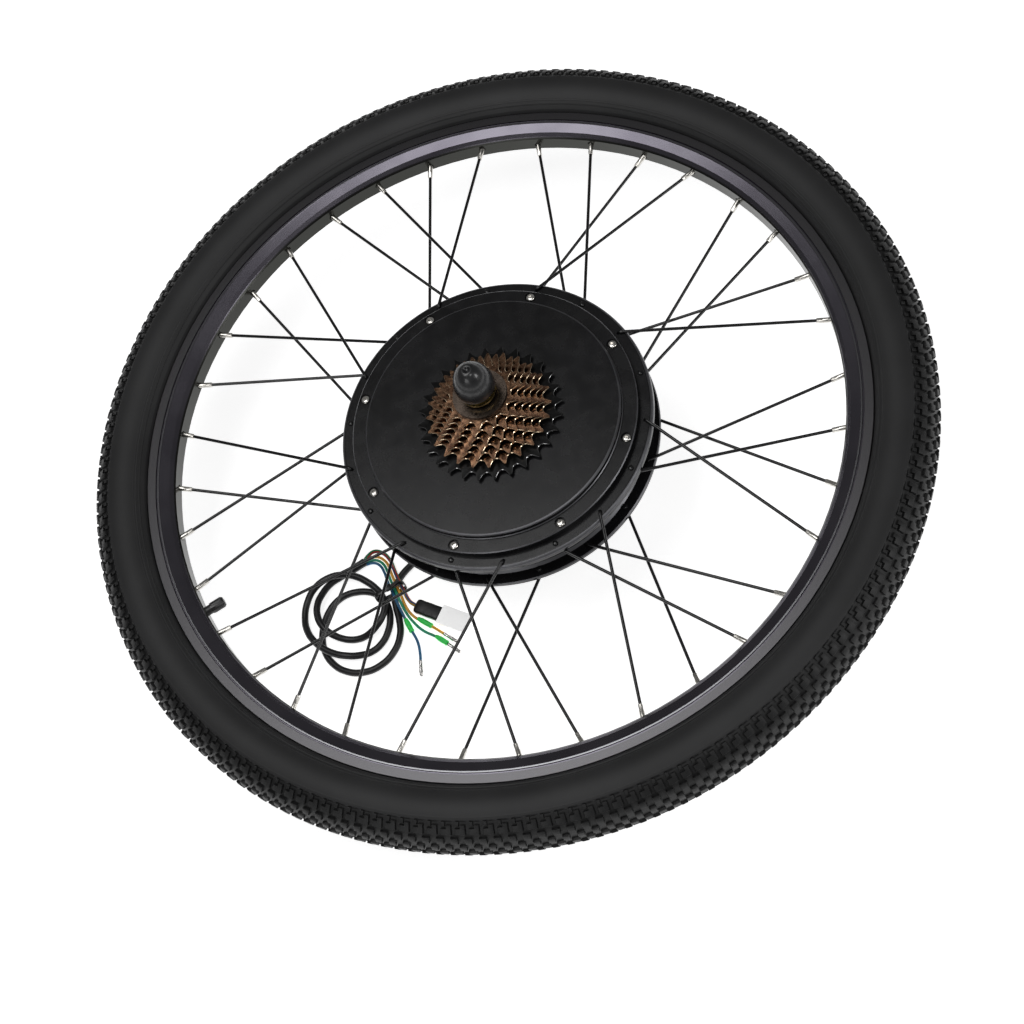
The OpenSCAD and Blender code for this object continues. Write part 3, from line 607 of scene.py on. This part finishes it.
def make_hall_sleeve():
    """The flat sleeve from the sensor wires to their plug. Stations are (distance, width,
    height)."""
    start, end = np.array([-130.7, -51.2, -103.3]), np.array([-114.9, -69.5, -103.3])
    length = np.linalg.norm(end - start)
    stations = [(0.0, 8.5, 3.6), (0.8, 11.2, 5.0), (3, 12.4, 5.8), (8, 12.0, 6.1), (13, 12.5, 5.7),
                (18, 12.1, 6.1), (22, 12.5, 5.9), (length - 0.4, 12.3, 5.8), (length, 11.6, 5.0)]
    shape = rod(start, end - start, [(t, rounded_box(w, h, 1.7)) for t, w, h in stations])
    return mesh_piece("hall_sleeve_flat", shape, "cable_black", "axle", "hall_sleeve", sharp=50)


LEAD_D = 2.4
LEAD_ROUTES = {
    "yellow": [
        (-155, 10.4, -104), (-149.5, 10.6, -105.1), (-142.8, 7, -105.3), (-139.2, 0.5, -105.2),
        (-138.2, -7, -104), (-138.2, -13, -101), (-138.2, -20, -98.8), (-138.2, -30, -98.8),
        (-138.4, -39, -100.8), (-138.8, -48, -104.4), (-136.4, -58, -105.3),
        (-130.9, -67, -105.3), (-124.5, -76.5, -105.3), (-118.9, -86, -105.3)],
    "green": [
        (-155, 8, -105.2), (-150, 7.8, -105.3), (-144.8, 4.7, -105.3), (-141.8, -1, -105.2),
        (-141, -8, -104), (-141, -15, -101), (-141, -23, -98.8), (-141, -33, -98.8),
        (-141, -42, -100.4), (-140.9, -51, -104.4), (-139, -61, -105.3), (-134, -74, -105.3),
        (-126, -85, -105.3), (-119.5, -96, -105.3)],
    "blue": [
        (-155, 5.6, -104), (-150.5, 5.2, -105.1), (-146.8, 2.7, -105.3), (-144.5, -2, -105.2),
        (-143.8, -9, -104), (-143.8, -17, -100.8), (-143.8, -26, -98.8), (-143.7, -36, -98.8),
        (-143.7, -44, -99.8), (-143.8, -52, -103.6), (-143.5, -59, -105.1),
        (-142.6, -70, -105.1), (-142, -82, -105.3), (-144, -92, -105.3), (-146, -98, -105.3)],
}
# Where each lead's loose sleeve and its bullet start and end
LEAD_ENDS = {
    "yellow": (((-133.6, -62.4, -104.2), (-125.6, -74.8, -104.2)),
               ((-118.9, -86, -104.6), (-111.5, -98.4, -104.6))),
    "green": (((-126, -84.8, -104.2), (-119.6, -95.6, -104.2)),
              ((-119.4, -96.2, -104.6), (-112.8, -108.4, -104.6))),
    "blue": (((-143.5, -57.5, -104.2), (-142.6, -71, -104.2)),
             ((-146, -98.2, -104.6), (-150.4, -111.8, -104.6))),
}


def make_cords():
    line = cable_line()
    cable = curve_piece("motor_cable", line, CABLE_D, "cable_black",
                        replaces=("cable_tube", "cable_coil"))
    metres(line[0])
    make_end_sleeve()
    make_tie()
    for colour, route in LEAD_ROUTES.items():
        lead = curve_piece(f"phase_wire_{colour}", route, LEAD_D, f"lead_{colour}",
                           replaces=(f"phase_lead_{colour}",))
        metres(route[0])
        make_lead_end(f"phase_{colour}", *LEAD_ENDS[colour])
    make_hall_wires()


HALL_ROUTE = [
    (-155, 8, -100.9), (-150, 11, -101), (-144, 12.6, -102.3), (-138.4, 8.6, -104),
    (-135.2, 0.5, -104.3), (-134.7, -6, -103), (-134.7, -12, -99.8), (-134.7, -20, -98),
    (-134.7, -28, -98.4), (-134.7, -37, -101.2), (-134, -45, -103.3), (-130.4, -51.5, -103.3),
]
HALL_COLOURS = {"red": (0.42, 0.035, 0.02), "green": (0.02, 0.28, 0.12),
                "black": (0.02, 0.02, 0.02), "yellow": (0.55, 0.30, 0.04),
                "blue": (0.03, 0.10, 0.25)}
HALL_D = 1.3
HALL_BUNDLE_R = 1.08
HALL_TWIST = 18


def make_hall_wires():
    """Five thin wires, laid side by side round the bundle's line with a slow twist."""
    route = np.array(HALL_ROUTE, float)
    cover = make_hall_sleeve()
    for k, (colour, rgb) in enumerate(HALL_COLOURS.items()):
        points = []
        for i, p in enumerate(route):
            d = route[min(i + 1, len(route) - 1)] - route[max(i - 1, 0)]
            a = math.radians(360 / len(HALL_COLOURS) * k + HALL_TWIST * i)
            off = (HALL_BUNDLE_R * math.cos(a), HALL_BUNDLE_R * math.sin(a))
            points.append(tuple(section(p, d, [off])[0]))
        name = f"hall_wire_{colour}"
        wire = curve_piece(name, points, HALL_D, "hall_wires",
                           replaces=("hall_lead",) if k == 0 else (),
                           material=finish(name, rgb, 0.4, patch=200, mottle=0.12))
        metres(points[0])


make_cords()


# ---------- Tyre ----------

TYRE_MID_R = 319.5
# Distances from the middle of the section
WALL_SECTION = 26.5
TREAD_BASE = 25.1
CASING_INSIDE = 22.5
KNOB_FOOT = 24.4
KNOB_TOP = 27.4
KNOBS = 196
TREAD_EDGE = 66
# Ribs round the casing: angle of the middle, half the width in degrees, height
RIBS = [(130, 1.6, 0.55), (123, 0.9, 0.22), (119.5, 0.9, 0.16), (74, 0.9, 0.18)]


def tyre_point(angle, reach):
    """(radius, height) on the tyre's section, angle from straight outwards."""
    a = math.radians(angle)
    return TYRE_MID_R + reach * math.cos(a), reach * math.sin(a)


def wall_reach(angle):
    """The casing's surface: lower under the tread, with a rib by the rim and mould lines."""
    a = abs(angle)
    reach = TREAD_BASE + (WALL_SECTION - TREAD_BASE) * eased((a - TREAD_EDGE) / 5)
    for middle, half, height in RIBS:
        reach += height * eased(1 - abs(a - middle) / half)
    return reach


def tyre_casing():
    """The tyre without its blocks: outside, bead in the rim, and inside."""
    outer = [tyre_point(a * 0.8, wall_reach(a * 0.8)) for a in range(-175, 176)]
    inner = [tyre_point(a, CASING_INSIDE) for a in range(140, -141, -10)]
    bead = [(298.2, 12.7), (292.4, 12.4), (292.3, 9.2)]
    return lathe([(r, -z) for r, z in bead[::-1]] + outer + bead + inner, 360)


def knob(footprint, top=KNOB_TOP, turn=0.0):
    """A tread block: its footprint is (distance round the tyre, angle on the section) points."""
    foot = np.asarray(footprint, float)
    middle = foot.mean(0)
    rings = []
    for reach, grow in ((KNOB_FOOT, 1.10), (top - 0.5, 1.0), (top - 0.12, 0.93), (top, 0.80)):
        ring = []
        for along, angle in middle + (foot - middle) * grow:
            r, z = tyre_point(angle, reach)
            phi = along / (TYRE_MID_R + KNOB_TOP) + turn
            ring.append((r * math.cos(phi), r * math.sin(phi), z))
        rings.append(ring)
    return loft(rings)


def block(length, inner, outer):
    """A block's footprint between two angles on the section."""
    return [(-length / 2, inner), (length / 2, inner), (length / 2, outer), (-length / 2, outer)]


def make_tyre():
    """One pitch of the tread, with a shoulder, a wall stud and three rows each side, repeated."""
    pitch = 2 * math.pi / KNOBS
    shoulder = [(-4, 46), (4, 46), (4, 62.5), (0.4, 62.5), (0.4, 56.5), (-4, 56.5)]
    cell = []
    for side in (1, -1):
        mirrored = [(u, side * a) for u, a in shoulder]
        cell.append(knob(mirrored if side > 0 else mirrored[::-1], KNOB_TOP - 0.2))
        stud = [(u, side * a) for u, a in ((-3.6, 60.5), (-0.8, 60.5), (-0.8, 67.5), (-3.6, 67.5))]
        cell.append(knob(stud if side > 0 else stud[::-1], KNOB_TOP - 0.5))
        for length, inner, outer, turn in ((5.6, 28.5, 39.5, 0.5), (5.2, 12, 21.5, 0)):
            feet = block(length, *sorted((side * inner, side * outer)))
            cell.append(knob(feet, turn=turn * pitch))
    cell.append(knob(block(5.8, -5.5, 5.5), turn=pitch / 2))
    cell = joined(cell)
    knobs = joined([turned(cell, 360 * i / KNOBS) for i in range(KNOBS)])
    mesh_piece("tyre_moulded", joined([tyre_casing(), knobs]), "tyre_rubber", "wheel", "tyre",
               sharp=30)


# ---------- Spokes and nipples ----------

SPOKE_R = 1.3
RING_Z = 18.0
FLANGE_T = 6.0
FLANGE_HOLE_R = 121.7
SPOKE_AIM_R = 276.8
SPOKE_AIM_Z = 2
# How far the middle of a spoke's head stands off the flange's face
HEAD_OFF = 1.7
# The left side is the right one mirrored, and turned by half the distance between holes
LEFT_TURN = 10


def spoke_line(hub_a, rim_a, out):
    """A spoke's bend at the flange, where it meets the rim, and the direction between them.
    out says that the spoke runs along the flange's outer face."""
    z = RING_Z + SPOKE_R + 0.55 if out else RING_Z - FLANGE_T - SPOKE_R - 0.15
    bend, aim = polar(FLANGE_HOLE_R, hub_a, z), polar(SPOKE_AIM_R, rim_a, SPOKE_AIM_Z)
    return bend, aim, (aim - bend) / np.linalg.norm(aim - bend)


def spoke(hub_a, rim_a, out):
    """A round spoke with a pressed head, bent where it leaves its hole in the flange."""
    bend, aim, u = spoke_line(hub_a, rim_a, out)
    rise = 1 if out else -1
    head_z = RING_Z - FLANGE_T - HEAD_OFF if out else RING_Z + HEAD_OFF
    head = np.array([bend[0], bend[1], head_z])
    elbow = 3.2
    low, high = bend - (0, 0, rise * elbow), bend + u * elbow
    curve = [low * (1 - t) ** 2 + bend * 2 * t * (1 - t) + high * t * t
             for t in np.linspace(0, 1, 7)]
    shaft = tube([head + (0, 0, rise * 0.6), head + (0, 0, rise * 2)] + curve
                 + [aim - u * 60, aim - u * 2.8], SPOKE_R, 12)
    dome = [(0.0, 0.9), (0.25, 1.6), (0.6, 2.05), (1.1, 2.2), (1.6, 2.2), (1.62, 1.4)]
    cap = loft([section(head + (0, 0, rise * t), (0, 0, rise), circle(r, 20)) for t, r in dome])
    return joined([shaft, cap])


def nipple(hub_a, rim_a, out):
    """A nipple: a square drive end, a round body and its flange inside the rim."""
    _, aim, u = spoke_line(hub_a, rim_a, out)
    drive, body = circle(2.1, 24, flats=3.3), circle(2.1, 24)
    return rod(aim, u, [(-12, circle(1.45, 24)), (-11.95, circle(1.75, 24, flats=3.1)),
                        (-11.6, drive), (-7.2, drive), (-6.6, body), (1.9, body),
                        (2.0, circle(3.0, 24)), (3.4, circle(3.0, 24)), (4.2, circle(2.2, 24))])


def laced(part):
    """One side's eighteen spokes: each flange hole sends its spoke forwards or back in turn."""
    for i in range(9):
        yield part(40 * i + 10, 40 * i - 10, True)
        yield part(40 * i + 30, 40 * i + 50, False)


def make_spokes():
    right = joined(laced(spoke))
    mesh_piece("spokes_right_drawn", right, "spoke_black", "wheel", "spokes_right")
    mesh_piece("spokes_left_drawn", turned(right, LEFT_TURN, flip=True), "spoke_black",
               "wheel", "spokes_left")
    nipples = joined(laced(nipple))
    mesh_piece("nipples_formed", joined([nipples, turned(nipples, LEFT_TURN, flip=True)]),
               "nipple_nickel", "wheel", "nipples")


# ---------- Screws, sprockets and caps ----------

SCREWS = 8
SCREW_CIRCLE_R = 111.3
SCREW_START = 5.5
COVER_FACE_Z = 24.5


def button_screw(x, y, face_z):
    """A button-head screw with a hexagon socket, sunk in the cover's counterbore."""
    def hexagon(radius):
        """Six corners joined by straight sides, with as many points as the circles."""
        out = []
        for k in range(36):
            a = math.radians(10 * k)
            near = math.radians((10 * k) % 60 - 30)
            out.append((radius * math.cos(a) / math.cos(near) * 0.93,
                        radius * math.sin(a) / math.cos(near) * 0.93))
        return out

    def ring(outline, z):
        return [(x + u, y + v, face_z + z) for u, v in outline]

    turned_part = [(1.62, -14), (1.62, -1.6), (3.75, -1.5), (3.8, -0.9), (3.6, -0.3), (3.1, 0.2),
                   (2.4, 0.58), (1.9, 0.7)]
    socket = [(1.5, 0.72), (1.4, 0.6), (1.4, -0.7)]
    return loft([ring(circle(r, 36), z) for r, z in turned_part]
                + [ring(hexagon(r), z) for r, z in socket])


def make_screws():
    places = [polar(SCREW_CIRCLE_R, 360 / SCREWS * i + SCREW_START)[:2] for i in range(SCREWS)]
    one_side = joined([button_screw(x, y, COVER_FACE_Z) for x, y in places])
    mesh_piece("cover_screws_right_domed", one_side, "screw_nickel", "wheel", "cover_screws_right")
    mesh_piece("cover_screws_left_domed", turned(one_side, 0, flip=True), "screw_nickel", "wheel",
               "cover_screws_left")


CHAIN_PITCH = 12.7
ROLLER_SEAT_R = 4
TOOTH_RISE = 2.3
TOOTH_TIP = 1.5
TOOTH_DEPTH = 4.9
TOOTH_THINNING = 0.42
CHAMFER = 0.4
SHELL_R = 22.02
SPROCKET_T = 1.85
# Number of teeth and height of the middle
SPROCKETS = {28: 33.5, 24: 38.5, 22: 43.5, 20: 48.5, 18: 53.5, 16: 58.5, 14: 63.5}


def tooth_outline(teeth, steps=8):
    """A sprocket's outline, with roller seats on the pitch circle between blunt teeth, and the
    pitch circle's radius."""
    pitch_r = CHAIN_PITCH / 2 / math.sin(math.pi / teeth)
    tip_r = pitch_r + TOOTH_RISE
    tip_a = 180 / teeth - math.degrees(math.asin(TOOTH_TIP / 2 / tip_r))
    out = []
    for i in range(teeth):
        turn = math.radians(360 / teeth * i)
        for k in range(steps):
            a = math.radians(240 - 120 * k / (steps - 1))
            x, y = pitch_r + ROLLER_SEAT_R * math.cos(a), ROLLER_SEAT_R * math.sin(a)
            out.append((x * math.cos(turn) - y * math.sin(turn),
                        x * math.sin(turn) + y * math.cos(turn)))
        for a in (tip_a, 180 / teeth, 360 / teeth - tip_a):
            out.append(tuple(polar(tip_r, a + 360 / teeth * i)[:2]))
    return np.array(out), pitch_r


def sprocket(teeth, z):
    """The teeth thin towards their tips, and every edge has a small chamfer."""
    outline, pitch_r = tooth_outline(teeth)
    r = np.hypot(*outline.T)
    out = outline / r[:, None]
    half = SPROCKET_T / 2
    thin = TOOTH_THINNING * np.clip((r - pitch_r + 2.6) / TOOTH_DEPTH, 0, 1)

    def flat(at, height):
        return np.column_stack([at, np.full(len(r), z + height)])

    def face(side):
        return np.column_stack([outline - out * 0.45, z + side * (half - thin)])

    bore = out * SHELL_R
    web = out * (pitch_r - 5.2)
    rings = [flat(bore, -half), flat(web, -half), face(-1), flat(outline, CHAMFER - half),
             flat(outline, half - CHAMFER), face(1), flat(web, half), flat(bore, half)]
    return loft(rings + rings[:1], closed=False)


def make_sprockets():
    for teeth, z in SPROCKETS.items():
        slot = "sprocket_black" if teeth == 28 else "sprocket_brown"
        mesh_piece(f"sprocket_{teeth}t_toothed", sprocket(teeth, z), slot, "freewheel",
                   f"sprocket_{teeth}t", sharp=25)


def make_axle_cap():
    """The rubber cap over the nut: a bullet shape with a dimple at its tip. Its profile is
    (radius, height) points."""
    skirt = 77.0
    dome = [(0.1, 103.4), (1.4, 103.5), (1.9, 104), (2.4, 105), (3, 105.3), (3.8, 105.3),
            (5, 104.9), (6.4, 104), (8, 102.6), (9.6, 100.8), (11.2, 98.6), (12.6, 96.1),
            (13.8, 93.3), (14.8, 90.2), (15.5, 87)]
    side = [(15.9, 84), (16, 81), (15.8, 78.4), (15.2, skirt + 0.4), (14.4, skirt)]
    inside = [(13, skirt + 0.2), (12.9, skirt + 2), (12.5, 82), (7.4, 82), (7.4, 100.5),
              (0.1, 100.5)]
    mesh_piece("axle_cap_moulded", lathe(dome + side + inside, 72), "cap_black", "axle",
               "axle_cap", sharp=50)


VALVE_ANGLE = 185
VALVE_CAP_START = 259.5


def make_valve_cap():
    """A ribbed plastic cap on the valve, pointing at the hub."""
    outward = polar(1, VALVE_ANGLE)
    start = outward * VALVE_CAP_START

    def ribbed(radius, depth):
        return [(radius * math.cos(a) * (1 - depth * (k % 3 == 0)),
                 radius * math.sin(a) * (1 - depth * (k % 3 == 0)))
                for k, a in enumerate(np.arange(60) * math.pi / 30)]

    shape = rod(start, outward, [(0, ribbed(2.6, 0)), (0.2, ribbed(3.5, 0)), (0.9, ribbed(4.1, 0)),
                                 (1.6, ribbed(4.5, 0.02)), (2.0, ribbed(4.7, 0.07)),
                                 (10.6, ribbed(4.7, 0.07)), (11, ribbed(4.6, 0)),
                                 (12, ribbed(4.6, 0))])
    mesh_piece("valve_cap_ribbed", shape, "cap_black", "wheel", "valve_cap")


make_tyre()
make_spokes()
make_screws()
make_sprockets()
make_axle_cap()
make_valve_cap()


# ---------- Finishes of the CAD parts that show as they are ----------

def dress_cad_parts():
    """Gives every CAD node the finish of its slot in the record."""
    for part in frame["record"]["subparts"]:
        node = frame["nodes"][part["node"]]
        node.data.materials.clear()
        node.data.materials.append(MATERIALS[part["material_slot"]])


dress_cad_parts()


# ---------- Floor and light ----------

def make_floor():
    """A pale floor, a hair below the lowest part."""
    half = 4000
    mesh = bpy.data.meshes.new("floor")
    mesh.from_pydata([tuple(c * MM for c in (x, y, FLOOR_Z - 0.05))
                      for x, y in ((-half, -half), (half, -half), (half, half), (-half, half))],
                     [], [(0, 1, 2, 3)])
    mesh.materials.append(finish("floor_pale", (0.85, 0.85, 0.85), 0.9, mottle=0.01, patch=2,
                                 grain=200, Emission_Color=(1, 1, 1, 1),
                                 Emission_Strength=0.8, Specular_IOR_Level=0.0))
    floor = bpy.data.objects.new("floor", mesh)
    bpy.context.collection.objects.link(floor)


def softbox(name, centre, width, length, power):
    """A rectangular light that faces the wheel's centre. Its place and size are in metres."""
    light = bpy.data.lights.new(name, "AREA")
    light.shape = "RECTANGLE"
    light.size, light.size_y = width, length
    light.energy = power
    lamp = bpy.data.objects.new(name, light)
    lamp.location = centre
    lamp.rotation_euler = Vector(centre).to_track_quat("Z", "Y").to_euler()
    bpy.context.collection.objects.link(lamp)


def make_light():
    world = bpy.data.worlds.new("studio")
    world.use_nodes = True
    sky = world.node_tree.nodes["Background"].inputs
    sky["Color"].default_value = (1, 1, 1, 1)
    sky["Strength"].default_value = 0.15
    bpy.context.scene.world = world
    softbox("overhead", (-0.35, 0.17, 1.6), 1.25, 0.75, 9)
    softbox("near", (0.35, -0.8, 1.6), 0.5, 0.35, 2.5)
    softbox("front", (2.1, -1.65, 1.35), 0.9, 0.6, 12)
    softbox("left", (-1.7, -1.9, 1.4), 1.2, 0.8, 7)


make_floor()
make_light()
